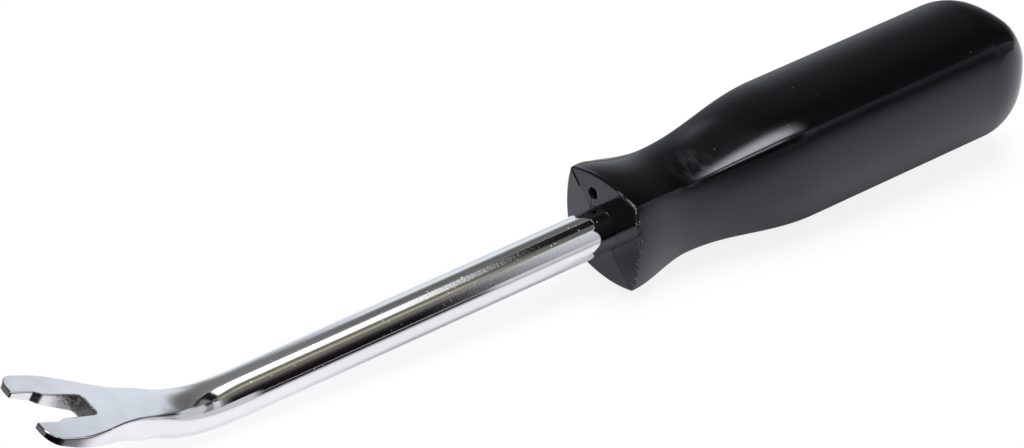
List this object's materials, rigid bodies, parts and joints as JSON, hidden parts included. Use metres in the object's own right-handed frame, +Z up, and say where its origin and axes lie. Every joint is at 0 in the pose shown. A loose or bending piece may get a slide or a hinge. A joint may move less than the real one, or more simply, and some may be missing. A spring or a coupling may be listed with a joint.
{
  "type": "trim removal tool",
  "caption": "Hand lever for pulling trim clips: a chromed round shank bent up into a flat forked tip with a stepped notch, set in a glossy black square-sided handle.",
  "frame": {"origin": "on the resting surface, below the middle of the tool's box", "axes": "+X from the fork towards the handle's rear end, +Z up; the tool lies at rest on the handle's lower front edge and the outside of the bend, nose down by 4.3 degrees, with the fork turned up"},
  "size_m": [0.2082, 0.0218, 0.0264],
  "materials": {
    "handle_plastic": "glossy black moulding",
    "shank_chrome": "bright chrome plate, satin on the fork's flat"
  },
  "bodies": {
    "root": {"handle": "handle_plastic", "shank": "shank_chrome"}
  },
  "joints": []
}
